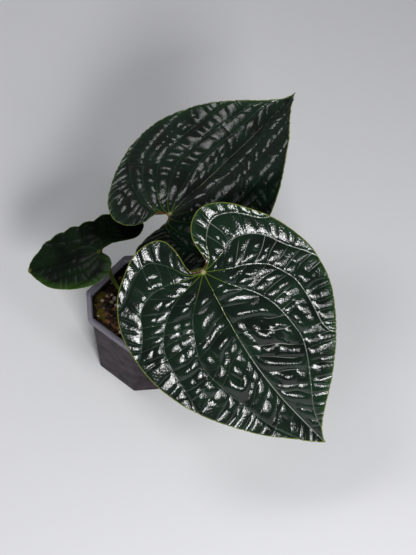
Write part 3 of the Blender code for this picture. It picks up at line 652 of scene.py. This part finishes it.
def vein_network(leaf):
    """A flat blade's veins as (path, kind), its outline last, and its length."""
    draw = random.Random(leaf["seed"])
    edges = [smooth_path(scaled(edge, leaf, side), VEIN_STEP) for side, edge in enumerate(leaf["edges"])]
    length = float(edges[0][-1, 1])
    y = np.linspace(0.0, length, int(length / VEIN_STEP) + 1)
    midrib = np.stack([midrib_offset(y, leaf, length), y], axis=1)
    veins = [(midrib, "midrib")]
    for side, edge in enumerate(edges):
        if isinstance(leaf["arcs"][0], tuple):
            shapes = [sweeping_vein(edge, midrib, *pair) for pair in leaf["arcs"]]
        else:
            shapes = [np.vstack([[(0.0, 0.0)], scaled(arc, leaf, side)]) for arc in leaf["arcs"][side]]
        outer = edge[:1]
        last = 0
        for shape, slant in zip(shapes, leaf["slants"]):
            path = smooth_path(shape, VEIN_STEP)
            stop = int(np.argmin(np.linalg.norm(edge - path[-1], axis=1)))
            path[-1] = edge[stop]
            outer = np.vstack([outer, edge[last + 1:stop + 1]])
            rungs, joins = rungs_between(outer, path, leaf["rungs"], slant, draw)
            veins += [(rung, "cross") for rung in rungs] + [(join, "fine") for join in joins]
            veins.append((path, "main"))
            outer = path
            last = stop
        outer = np.vstack([outer, edge[last + 1:]])
        rungs, joins = rungs_between(outer, midrib, WIDER * leaf["rungs"], leaf["slants"][-1], draw)
        veins += [(rung, "cross") for rung in rungs] + [(join, "fine") for join in joins]
    base = np.array([[0.0, 0.4 * (edges[0][0, 1] + edges[1][0, 1])]])
    outline = np.vstack([base, edges[1], edges[0][-2::-1], base])
    return veins + [(outline, "margin")], length


def distances(points, path, reach):
    """Distance from each point to a path, or reach where the path is farther away."""
    found = np.full(len(points), reach)
    for first in range(0, len(path) - 1, 12):
        piece = path[first:first + 13]
        low = piece.min(axis=0) - reach
        high = piece.max(axis=0) + reach
        near = np.nonzero(((points >= low) & (points <= high)).all(axis=1))[0]
        if len(near) == 0:
            continue
        along = np.diff(piece, axis=0)[None]
        offset = points[near][:, None] - piece[:-1][None]
        square = np.maximum((along**2).sum(axis=2), 1e-9)
        share = np.clip((offset * along).sum(axis=2) / square, 0.0, 1.0)
        gap = np.sqrt((((offset - share[..., None] * along) ** 2).sum(axis=2)).min(axis=1))
        found[near] = np.minimum(found[near], gap)
    return found


def quilting(points, veins, leaf):
    """Height at the veins, distances to the nearest of each kind, where they hold the skin, and dents."""
    draw = random.Random(leaf["seed"])
    sunk = np.zeros(len(points))
    seam = np.full(len(points), FAR)
    held = np.zeros(len(points), dtype=bool)
    crossings = 0
    nearest = {kind: np.full(len(points), FAR) for kind in VEINS}
    for path, kind in veins:
        strength, reach = VEINS[kind]
        strength *= draw.uniform(*UNEVEN.get(kind, (1.0, 1.0)))
        gap = distances(points, path, FAR)
        nearest[kind] = np.minimum(nearest[kind], gap)
        crossings += kind == "cross"
        faint_cross = kind == "cross" and crossings % FAINT_CROSS == 0
        if faint_cross or kind == "fine" and draw.random() < FAINT_JOINS:
            seam = np.minimum(seam, gap)
        else:
            held |= gap < ON_VEIN
            sunk += (strength * np.clip(1.0 - gap / reach, 0.0, 1.0) ** 2) ** 3
    height = RELIEF * leaf["relief"] * (DEEPEST - np.minimum(np.cbrt(sunk), DEEPEST))
    dents = SEAM_DEEP * leaf["relief"] * np.clip(1.0 - seam / SEAM_RUN, 0.0, 1.0) ** 2
    return height, nearest, held, dents


def inflated(points, triangles, fixed, height, pressure):
    """The height of a taut skin blown up between the fixed points, found by conjugate gradients."""
    # Each edge of the mesh pulls its two ends together, by the triangles on its sides
    size = len(points)
    starts = []
    ends = []
    pulls = []
    area = np.zeros(size)
    for corner in range(3):
        a, b, c = (triangles[:, (corner + turn) % 3] for turn in range(3))
        one = points[a] - points[c]
        two = points[b] - points[c]
        double = np.abs(one[:, 0] * two[:, 1] - one[:, 1] * two[:, 0])
        starts.append(a)
        ends.append(b)
        pulls.append(0.5 * (one * two).sum(axis=1) / np.maximum(double, 1e-6))
        area += np.bincount(a, double / 6.0, size)
    starts = np.concatenate(starts)
    ends = np.concatenate(ends)
    pulls = np.maximum(np.concatenate(pulls), 0.01)
    whole = np.bincount(starts, pulls, size) + np.bincount(ends, pulls, size)
    free = ~fixed

    def pulled(values):
        drawn = np.bincount(starts, pulls * values[ends], size)
        drawn += np.bincount(ends, pulls * values[starts], size)
        return whole * values - drawn

    height = np.where(fixed, height, 0.0)
    rest = np.where(free, pressure * area - pulled(height), 0.0)
    ready = rest / whole
    way = ready.copy()
    strength = rest @ ready
    for _ in range(SOLVER_ROUNDS):
        push = np.where(free, pulled(way), 0.0)
        step = strength / (way @ push)
        height = height + step * way
        rest = rest - step * push
        ready = rest / whole
        renewed = rest @ ready
        way = ready + (renewed / strength) * way
        strength = renewed
    return height


def bend(points, height, leaf, length):
    """The flat blade folded at its midrib, curled across and drooping along, in the blade's own axes."""
    x = points[:, 0] - midrib_offset(points[:, 1], leaf, length)
    y = points[:, 1]
    right = x > 0.0
    fold = np.radians(np.where(right, leaf["fold"][1], leaf["fold"][0])
                      + np.where(right, leaf["fold_growth"][1], leaf["fold_growth"][0]) * y / 100.0)
    curl = np.radians(np.where(right, leaf["curl"][1], leaf["curl"][0])) / 100.0
    away = np.abs(x)
    slope = fold - curl * away
    across = (np.sin(fold) - np.sin(slope)) / curl
    rise = (np.cos(slope) - np.cos(fold)) / curl
    droop = np.radians(np.where(y > 0.0, leaf["droop"], leaf["lobe_droop"])) / 100.0
    arc = droop * y
    side = np.where(right, 1.0, -1.0)
    out = rise + height * np.cos(slope)
    flat_x = side * (across - height * np.sin(slope)) + midrib_offset(y, leaf, length)
    along = np.sin(arc) / droop + out * np.sin(arc)
    up = -(1.0 - np.cos(arc)) / droop + out * np.cos(arc)
    return np.stack([flat_x, along, up], axis=1)


def leaf_matrix(leaf):
    """A blade's place and turn in the plant."""
    turn, pitch, roll = (math.radians(angle) for angle in leaf["turn"])
    spin = Matrix.Rotation(turn, 4, "Z") @ Matrix.Rotation(pitch, 4, "X") @ Matrix.Rotation(roll, 4, "Y")
    return Matrix.Translation(Vector(leaf["junction"])) @ spin


def flat_mesh(veins, step):
    """Points and triangles of a flat blade: vertices along every vein and an even grid between them."""
    curves = [finer(path, step) for path, _ in veins]
    spots = []
    links = []
    numbers = {}
    for curve in curves:
        marks = []
        for point in curve:
            key = (round(float(point[0]), 2), round(float(point[1]), 2))
            if key not in numbers:
                numbers[key] = len(spots)
                spots.append(key)
            marks.append(numbers[key])
        links += [(a, b) for a, b in zip(marks[:-1], marks[1:]) if a != b]
    low = curves[-1].min(axis=0)
    high = curves[-1].max(axis=0)
    rows = np.arange(low[1], high[1], step * math.sqrt(0.75))
    grid = []
    for number, y in enumerate(rows):
        row = np.arange(low[0] + 0.5 * step * (number % 2), high[0], step)
        grid.append(np.stack([row, np.full(len(row), y)], axis=1))
    grid = np.concatenate(grid)
    clear = np.full(len(grid), step)
    for curve in curves:
        clear = np.minimum(clear, distances(grid, curve, step))
    spots += [tuple(point) for point in grid[clear > GRID_CLEAR * step]]
    flat, _, triangles, _, _, _ = delaunay_2d_cdt([Vector(spot) for spot in spots], links, [], 1, 0.02)
    triangles = np.array(triangles)
    used, places = np.unique(triangles, return_inverse=True)
    return np.array([tuple(flat[i]) for i in used]), places.reshape(triangles.shape)


def slow_noise(points, slice_at, length):
    """Smooth noise over the flat blade, which changes over about the given length."""
    return np.array([noise.noise(Vector((x, y, slice_at)) / length) for x, y in points])


def skin_height(points, triangles, curves, leaf):
    """Height of the finished skin, distances to the nearest vein of each kind, and where veins hold it."""
    height, nearest, held, dents = quilting(points, curves, leaf)
    rim = distances(points, curves[-1][0], CUP_RUN)
    hub = np.linalg.norm(points, axis=1)
    flat = np.interp(rim, FLAT_RUN, (MARGIN_FLAT, 1.0))
    swell = 1.0 + SWELL_SHARE * slow_noise(points, leaf["seed"], SWELL_LONG)
    height = inflated(points, triangles, held, height, PRESSURE * flat * swell)
    wave = WAVE_HIGH * slow_noise(points, -leaf["seed"], WAVE_LONG)
    inside = np.clip(np.min(list(nearest.values()), axis=0) / RIPPLE_RUN, 0.0, 1.0)
    ripple = RIPPLE_HIGH * inside * slow_noise(points, 3.0 * leaf["seed"], RIPPLE_LONG)
    cup = CUP_HIGH * np.clip(1.0 - rim / CUP_RUN, 0.0, 1.0) ** CUP_CURVE
    cup *= np.clip(hub / CUP_HUB, 0.0, 1.0) ** 2
    shoulder = SHOULDER_HIGH * np.sin(np.pi * np.clip(hub / SHOULDER_RUN, 0.0, 1.0)) ** 2
    line = np.minimum(nearest["cross"], nearest["main"])
    groove = GROOVE_DEEP * np.clip(1.0 - line / GROOVE_RUN, 0.0, 1.0) ** 2
    groove *= np.interp(rim, FLAT_RUN, (1.0, 0.0))
    height += leaf["relief"] * (wave + ripple + cup + shoulder - groove) - dents * (1 - held)
    return height, nearest, held


def crease(mesh, points, nearest, held, leaf):
    """Makes the edges along the leaf's creased veins sharp."""
    dull = points[:, 0] > leaf["dull_from"]
    creased = np.minimum(nearest["cross"], nearest["fine"]) < ON_VEIN
    creased &= held & (nearest["main"] > np.where(dull, CREASE_CLEAR_DULL, CREASE_CLEAR))
    creased |= (nearest["main"] < ON_VEIN) & dull
    ends = np.empty(2 * len(mesh.edges), dtype=np.int32)
    mesh.edges.foreach_get("vertices", ends)
    sharp = creased[ends.reshape(-1, 2)].all(axis=1)
    mesh.attributes.new("sharp_edge", "BOOLEAN", "EDGE").data.foreach_set("value", sharp)


def mark(mesh, points, nearest, leaf, length):
    """Stores the distances on the flat blade that its colours follow."""
    marks = {f"{kind}_mm": gap for kind, gap in nearest.items()}
    marks["hub_mm"] = np.linalg.norm(points, axis=1)
    marks["tip_mm"] = np.linalg.norm(points - np.array([0.0, length]), axis=1)
    marks["across_mm"] = points[:, 0]
    if leaf["painted_shade"]:
        # The part under another leaf, which the material paints in shade
        slope, start, end = leaf["painted_shade"]
        marks["painted_shade"] = np.interp(points[:, 0] - slope * points[:, 1], (start, end), (0.0, 1.0))
    for name, values in marks.items():
        mesh.attributes.new(name, "FLOAT", "POINT").data.foreach_set("value", values.astype(np.float32))


def thicken(thing, margin):
    """Gives the skin its thickness, less towards the margin, and its underside and rim their own skins."""
    group = thing.vertex_groups.new(name="thick")
    levels = np.round(THICKNESS_LEVELS * np.clip(margin / MARGIN_RUN, 0.0, 1.0))
    for level in range(THICKNESS_LEVELS + 1):
        group.add(np.nonzero(levels == level)[0].tolist(), level / THICKNESS_LEVELS, "REPLACE")
    thick = thing.modifiers.new("thickness", "SOLIDIFY")
    thick.thickness = BLADE_THICK * MM
    thick.offset = -1.0
    thick.vertex_group = "thick"
    thick.thickness_vertex_group = MARGIN_SHARE
    thick.material_offset = 1
    thick.material_offset_rim = 2


def blade(place, leaf, skins):
    """One quilted blade over its CAD node: the same veins and bends, finer and thinner at its margin."""
    veins, length = vein_network(leaf)
    points, triangles = flat_mesh(veins, leaf["grid"])
    curves = [(finer(path, leaf["grid"]), kind) for path, kind in veins]
    height, nearest, held = skin_height(points, triangles, curves, leaf)
    scallop = leaf["scallops"] * np.abs(np.sin(np.pi * points[:, 1] / SCALLOP_LONG))
    scallop *= np.clip(points[:, 0] / SCALLOP_REACH, 0.0, 1.0) ** 2
    placed = bend(points + scallop[:, None] * (1.0, 0.0), height + scallop, leaf, length)
    matrix = np.array(leaf_matrix(leaf))
    placed = (placed @ matrix[:3, :3].T + matrix[:3, 3]) * MM
    # The mesh runs along every vein, a net that no operator makes, so it is made from its points
    mesh = bpy.data.meshes.new(f"quilted_{place}")
    mesh.from_pydata(placed.tolist(), [], triangles.tolist())
    mesh.update()
    mesh.shade_smooth()
    crease(mesh, points, nearest, held, leaf)
    mark(mesh, points, nearest, leaf, length)
    for skin in skins:
        mesh.materials.append(skin)
    thing = added(f"quilted_{place}", mesh)
    thicken(thing, nearest["margin"])
    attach(thing, "root")
    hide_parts(f"blade_{place}")
    return thing


# Pot


def corner_cut_square(work, half, z):
    """One flat face: a square whose corners are cut off and then rounded."""
    made = bmesh.ops.create_grid(work, x_segments=1, y_segments=1, size=half * MM)
    bmesh.ops.bevel(work, geom=made["verts"], offset=POT_CUT * 2.0 * half / POT_WIDTH * MM, segments=1,
                    profile=0.5, affect="VERTICES", material=-1)
    reach = CORNER_RADIUS * 2.0 * half / POT_WIDTH * math.tan(math.radians(22.5))
    bmesh.ops.bevel(work, geom=list(work.verts), offset=reach * MM, segments=CORNER_STEPS, profile=0.5,
                    affect="VERTICES", material=-1)
    place = Matrix.Translation((0.0, 0.0, z * MM)) @ Matrix.Rotation(math.radians(POT_TURN), 4, "Z")
    bmesh.ops.transform(work, matrix=place, verts=list(work.verts))
    return list(work.faces)[0]


def raised(work, profile):
    """A closed body that rises from its first outline through all the others by extrusion."""
    face = corner_cut_square(work, *profile[0])
    for (half, z), (wider, higher) in zip(profile[:-1], profile[1:]):
        made = bmesh.ops.extrude_face_region(work, geom=[face, *face.edges])
        face = [item for item in made["geom"] if isinstance(item, bmesh.types.BMFace)][0]
        spots = list(face.verts)
        bmesh.ops.scale(work, vec=(wider / half, wider / half, 1.0), verts=spots)
        bmesh.ops.translate(work, vec=(0.0, 0.0, (higher - z) * MM), verts=spots)
    bmesh.ops.recalc_face_normals(work, faces=list(work.faces))


def outer_half(z):
    """Half the pot's outer width at a height."""
    return 0.5 * POT_WIDTH - FLANGE - POT_TAPER * (1.0 - z / POT_HEIGHT)


def inner_half(z):
    """Half the pot's inner width at a height."""
    return outer_half(z) - WALL


def pot(skin):
    """The pot: up its outer side, over flange and lip and down inside, with drain slots in its floor."""
    rim = 0.5 * POT_WIDTH
    under = POT_HEIGHT - UNDER_FLANGE
    lip = POT_HEIGHT - LIP_DEPTH
    foot = FLOOR + FOOT_CHAMFER
    profile = [(outer_half(0) - FOOT_CHAMFER, 0.0), (outer_half(FOOT_CHAMFER), FOOT_CHAMFER),
               (outer_half(under), under), (rim - LIP_THICK, under), (rim - LIP_THICK, lip), (rim, lip),
               (rim, POT_HEIGHT - RIM_EDGE), (rim - 0.3 * RIM_EDGE, POT_HEIGHT - 0.3 * RIM_EDGE),
               (rim - RIM_EDGE, POT_HEIGHT), (inner_half(POT_HEIGHT) + RIM_EDGE, POT_HEIGHT),
               (inner_half(POT_HEIGHT) + 0.2 * RIM_EDGE, POT_HEIGHT - 0.3 * RIM_EDGE),
               (inner_half(POT_HEIGHT), POT_HEIGHT - RIM_EDGE), (inner_half(foot), foot),
               (inner_half(FLOOR) - FOOT_CHAMFER, FLOOR)]
    work = bmesh.new()
    raised(work, profile)
    body = new_piece("frosted_pot", work, [skin], smooth_angle=25.0)
    cutters = []
    for quarter in range(4):
        spin = Matrix.Rotation(math.radians(90.0 * quarter + POT_TURN), 4, "Z")
        place = spin @ Matrix.Translation((DRAIN_OUT * MM, 0, 0))
        sizes = Matrix.Diagonal((DRAIN_SIZE[0] * MM, DRAIN_SIZE[1] * MM, 4.0 * FLOOR * MM, 1.0))
        work = bmesh.new()
        bmesh.ops.create_cube(work, size=1.0, matrix=place @ sizes)
        upright = [edge for edge in work.edges if abs(edge.verts[0].co.z - edge.verts[1].co.z) > FLOOR * MM]
        bmesh.ops.bevel(work, geom=upright, offset=DRAIN_ROUND * MM, segments=5, profile=0.5, affect="EDGES",
                        material=-1)
        cutters.append(new_piece("drain", work, []))
        cut = body.modifiers.new("drain", "BOOLEAN")
        cut.operation = "DIFFERENCE"
        cut.object = cutters[-1]
    applied(body)
    for cutter in cutters:
        bpy.data.objects.remove(cutter, do_unlink=True)
    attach(body, "root")
    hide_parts("pot")


# Mix


def in_pot(x, y, half):
    """Whether a place lies inside a corner-cut square of the given half width."""
    spot = Matrix.Rotation(-math.radians(POT_TURN), 2) @ Vector((x, y))
    cut = POT_CUT * 2.0 * half / POT_WIDTH
    return max(abs(spot.x), abs(spot.y)) < half and abs(spot.x) + abs(spot.y) < 2.0 * half - cut


def free_spot(draw, size):
    """A random place on the mix for a lump of a size, clear of the pot's wall and the crown."""
    room = inner_half(MIX_TOP) - WALL_CLEAR - 0.5 * size
    clear = CROWN_CLEAR + 0.5 * size
    while True:
        x = draw.uniform(-MIX_ROOM, MIX_ROOM)
        y = draw.uniform(-MIX_ROOM, MIX_ROOM)
        if in_pot(x, y, room) and math.hypot(x, y) > clear:
            return x, y


def surface_below(ground, x, y):
    """Height of the mix at a place, or None beside it."""
    hit = ground.ray_cast(Vector((x, y, OVER_MIX)) * MM, Vector((0.0, 0.0, -1.0)))[0]
    return hit.z / MM if hit else None


def lump(work, layer, draw, ground, place, size, stretch, kind):
    """One bark chip or pumice granule, lying on the mix."""
    x, y = place
    z = (surface_below(ground, x, y) or MIX_TOP) + LUMP_RAISED * size
    turn = Matrix.Rotation(draw.uniform(0.0, math.tau), 4, "Z")
    for lean, axis in zip(LUMP_LEANS, "XY"):
        turn @= Matrix.Rotation(draw.uniform(-lean, lean), 4, axis)
    grow = Matrix.Diagonal((*(Vector(stretch) * size * 0.5 * MM), 1.0))
    matrix = Matrix.Translation(Vector((x, y, z)) * MM) @ turn @ grow
    if kind == "bark":
        made = bmesh.ops.create_cube(work, size=2.0)["verts"]
        edges = list(dict.fromkeys(edge for spot in made for edge in spot.link_edges))
        made = bmesh.ops.bevel(work, geom=edges, offset=CHIP_BEVEL, segments=1, profile=0.5, affect="EDGES",
                               material=-1)["verts"]
    else:
        made = bmesh.ops.create_icosphere(work, subdivisions=2, radius=1.0)["verts"]
    for spot in made:
        spot.co *= 1.0 + draw.uniform(-UNEVENNESS, UNEVENNESS)
    bmesh.ops.transform(work, matrix=matrix, verts=made)
    # The material mixes its colours by this tone
    tone = draw.random()
    for spot in made:
        spot[layer] = tone


def mix():
    """The potting mix: the solid's own bed, with bark chips, pumice, moss and coir lying on it."""
    body = merged_copy("potting_mix", "bark_bed", [fines_and_gap_shade()])
    tone = body.data.attributes.new("tone", "FLOAT", "POINT")
    draw = random.Random(MIX_SEED)
    # Darker and lighter spots of about 6 mm
    soft = [0.5 + 0.5 * noise.noise(point.co * 160.0) for point in body.data.vertices]
    tone.data.foreach_set("value", [value + draw.uniform(-0.2, 0.2) for value in soft])
    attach(body, "root")
    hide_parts("potting_mix")
    ground = BVHTree.FromObject(body, bpy.context.evaluated_depsgraph_get())
    pieces = {"bark_chips": ("bark", BARK_COUNT, BARK_SIZES, bark_mix()),
              "pumice": ("granule", PUMICE_COUNT, PUMICE_SIZES, pumice())}
    for name, (kind, count, sizes, skin) in pieces.items():
        work = bmesh.new()
        layer = work.verts.layers.float.new("tone")
        if kind == "granule":
            for place in PUMICE_SEEN:
                size = draw.uniform(*PUMICE_SEEN_SIZES)
                lump(work, layer, draw, ground, place, size, PUMICE_SEEN_STRETCH, kind)
        else:
            for place in BARK_SEEN:
                lump(work, layer, draw, ground, place, BARK_SEEN_SIZE, BARK_SEEN_STRETCH, kind)
        for _ in range(count):
            size = draw.uniform(*sizes)
            stretch = (1.0, draw.uniform(0.3, 0.8), draw.uniform(0.25, 0.6))
            if kind == "granule":
                stretch = (1.0, draw.uniform(0.7, 1.0), draw.uniform(0.6, 0.9))
            lump(work, layer, draw, ground, free_spot(draw, size), size, stretch, kind)
        thing = new_piece(name, work, [skin], smooth_angle=30.0)
        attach(thing, "root")
    strands("moss", MOSS_SEEN, MOSS_COUNT, MOSS_LENGTHS, MOSS_RADIUS, moss(), draw, ground)
    strands("coir", [], COIR_COUNT, COIR_LENGTHS, COIR_RADIUS, coir(), draw, ground)


def strands(name, centres, count, lengths, radius, skin, draw, ground):
    """Thin bent strands lying on the mix, in tufts round the centres or anywhere."""
    curve = bpy.data.curves.new(name, "CURVE")
    curve.dimensions = "3D"
    curve.bevel_depth = radius * MM
    curve.bevel_resolution = 0
    curve.use_fill_caps = True
    for _ in range(count):
        length = draw.uniform(*lengths)
        if centres:
            middle = centres[draw.randrange(len(centres))]
            x, y = (value + draw.gauss(0.0, TUFT_SPREAD) for value in middle)
        else:
            x, y = free_spot(draw, length)
        heading = draw.uniform(0.0, math.tau)
        line = curve.splines.new("POLY")
        line.points.add(STRAND_STEPS)
        for point in line.points:
            z = None
            if in_pot(x, y, inner_half(MIX_TOP) - STRAND_CLEAR) and math.hypot(x, y) > CROWN_CLEAR:
                z = surface_below(ground, x, y)
            if z is None:
                heading += math.pi
                x += TURN_BACK * math.cos(heading)
                y += TURN_BACK * math.sin(heading)
                z = surface_below(ground, x, y) or MIX_TOP
            heap = 0.0
            if centres:
                apart = min(math.dist((x, y), seen) for seen in centres)
                heap = np.interp(apart, (0.0, TUFT_RUN), (TUFT_HIGH, 0.0))
            point.co = (x * MM, y * MM, (z + radius + draw.uniform(0.0, STRAND_HIGH + heap)) * MM, 1.0)
            heading += draw.uniform(-STRAND_BEND, STRAND_BEND)
            x += math.cos(heading) * length / STRAND_STEPS
            y += math.sin(heading) * length / STRAND_STEPS
    curve.materials.append(skin)
    thing = applied_curve(added(name, curve), name)
    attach(thing, "root")


# Crown and stalks


def stem_piece(node, name, skin, levels=2):
    """A CAD stem copied, joined and drawn smooth."""
    thing = merged_copy(node, name, [skin])
    smooth = thing.modifiers.new("smooth", "SUBSURF")
    smooth.levels = smooth.render_levels = levels
    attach(thing, "root")
    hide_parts(node)
    return thing


# Camera, light and floor


def softbox(name, turn, height, distance, size, power):
    """A soft light aimed at the plant, from degrees round to the camera's right and degrees up."""
    light = bpy.data.lights.new(name, "AREA")
    light.shape = "RECTANGLE"
    light.size, light.size_y = size
    light.energy = power
    thing = added(name, light)
    round_by = math.radians(turn)
    up_by = math.radians(height)
    level = math.cos(up_by)
    towards = Vector((math.sin(round_by) * level, -math.cos(round_by) * level, math.sin(up_by)))
    thing.location = Vector(LIT_SPOT) * MM + towards * distance
    thing.rotation_euler = (-towards).to_track_quat("-Z", "Y").to_euler()


def studio():
    """The camera, three soft lights, an even pale sky and the floor."""
    down = math.radians(CAMERA_DOWN)
    roll = math.radians(CAMERA_ROLL)
    forward = Vector((0.0, math.cos(down), -math.sin(down)))
    right = Vector((1.0, 0.0, 0.0))
    up = right.cross(forward)
    across = right * math.cos(roll) + up * math.sin(roll)
    upright = up * math.cos(roll) - right * math.sin(roll)
    lens = bpy.data.cameras.new("camera")
    lens.lens = CAMERA_LENS
    lens.sensor_width = CAMERA_SENSOR
    lens.clip_start = 0.01
    camera = added("camera", lens)
    turn = Matrix((across, upright, -forward)).transposed().to_4x4()
    camera.matrix_world = Matrix.Translation(Vector(CAMERA_AT) * MM) @ turn
    bpy.context.scene.camera = camera

    world = bpy.data.worlds.new("studio")
    world.use_nodes = True
    sky = world.node_tree.nodes["Background"]
    sky.inputs["Color"].default_value = linear(SKY)
    sky.inputs["Strength"].default_value = SKY_STRENGTH
    bpy.context.scene.world = world
    for name, setting in SOFTBOXES.items():
        softbox(name, *setting)
    work = bmesh.new()
    bmesh.ops.create_grid(work, x_segments=1, y_segments=1, size=PAPER_HALF)
    mesh = bpy.data.meshes.new("floor")
    work.to_mesh(mesh)
    work.free()
    mesh.materials.append(plain("floor_paper", "#eeeef1", 0.8))
    added("floor", mesh)
    bpy.context.scene.view_settings.view_transform = "Standard"


def main():
    """The whole scene."""
    studio()
    underside = leaf_underside()
    rim = plain("leaf_rim", "#6a7634", 0.4)
    # The front leaf is the glossiest, the older leaf's cuticle is duller and the young one's is satin
    skins = {
        "front": waxy_leaf("waxy_leaf", MATURE, roughness=0.15, shine=0.45, grain=0.12, painted_glint=0.4,
                           has_painted_shade=False),
        "rear": waxy_leaf("older_leaf", MATURE, roughness=0.22, shine=0.48, grain=0.12),
        "left": waxy_leaf("young_leaf", YOUNG, roughness=0.38, shine=0.14, grain=0.4),
    }
    pot(frosted_plastic())
    mix()
    stem_piece("crown", "stem", stem_bark(), levels=1)
    for place in LEAVES:
        stem_piece(f"petiole_{place}", f"stalk_{place}", leaf_stalk())
    for place, leaf in LEAVES.items():
        made = blade(place, leaf, (skins[place], underside, rim))


main()
